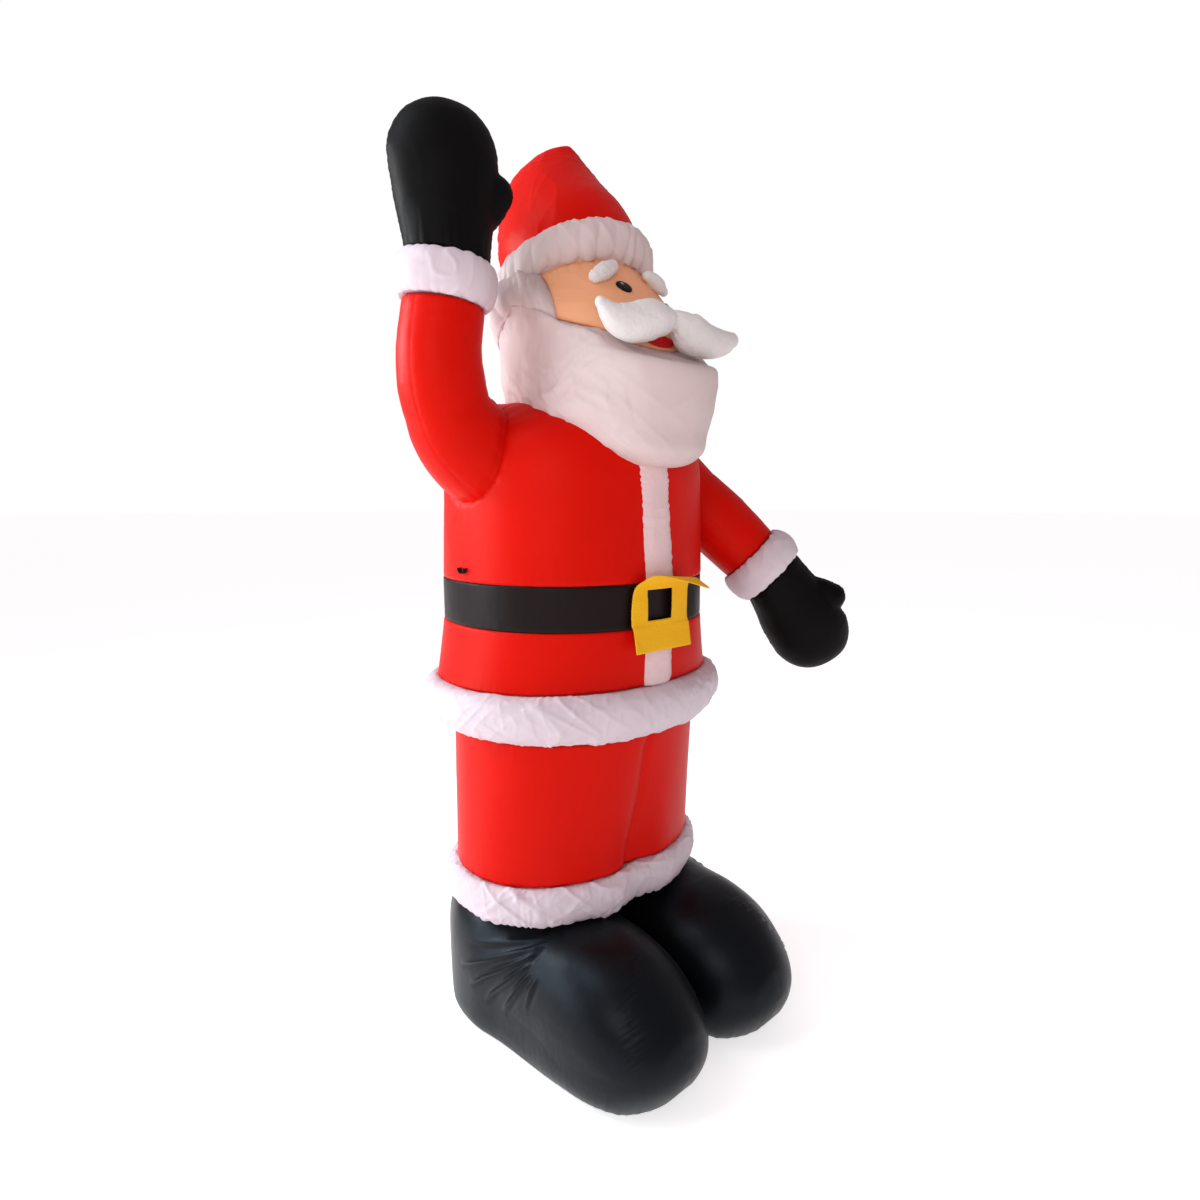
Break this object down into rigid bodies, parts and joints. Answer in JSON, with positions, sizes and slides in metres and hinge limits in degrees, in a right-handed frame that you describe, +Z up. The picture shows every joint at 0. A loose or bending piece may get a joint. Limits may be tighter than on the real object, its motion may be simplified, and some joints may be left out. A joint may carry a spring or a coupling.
{
  "type": "inflatable santa",
  "caption": "Standing inflatable santa waving a raised arm, sewn from coloured fabric sections, with tie-down loops at the waist.",
  "frame": {"origin": "on the ground under the middle of the figure's bounding box", "axes": "+Z up, the figure faces -Y, its left hand is at +X and its raised right hand at -X"},
  "size_m": [1.3122, 0.9826, 2.396],
  "materials": {
    "red_fabric": "thin woven polyester, soft sheen",
    "white_fabric": "thin woven polyester, gathered at the seams",
    "black_fabric": "thin woven polyester, soft sheen",
    "belt_fabric": "thin woven polyester, soft sheen",
    "skin_fabric": "thin woven polyester",
    "plush_white": "stuffed short-pile fabric",
    "yellow_felt": "soft felt sheet",
    "eye_black": "smooth sewn-on fabric patch",
    "mouth_red": "smooth sewn-on fabric patch",
    "webbing": "narrow woven tape"
  },
  "bodies": {
    "root": {"boot_right": "black_fabric", "boot_left": "black_fabric", "trouser_trim": "white_fabric", "trousers": "red_fabric", "coat_trim": "white_fabric", "coat_skirt": "red_fabric", "belt": "belt_fabric", "coat": "red_fabric", "front_strip_upper": "white_fabric", "front_strip_lower": "white_fabric", "buckle": "yellow_felt", "tether_loop_right": "webbing", "tether_loop_left": "webbing", "sleeve_right": "red_fabric", "sleeve_left": "red_fabric", "cuff_right": "white_fabric", "cuff_left": "white_fabric", "mitten_right": "black_fabric", "mitten_left": "black_fabric", "beard": "white_fabric", "face": "skin_fabric", "hat_trim": "white_fabric", "hat": "red_fabric", "moustache": "plush_white", "eyebrow_right": "plush_white", "eyebrow_left": "plush_white", "eye_right": "eye_black", "eye_left": "eye_black", "mouth": "mouth_red"}
  },
  "joints": []
}
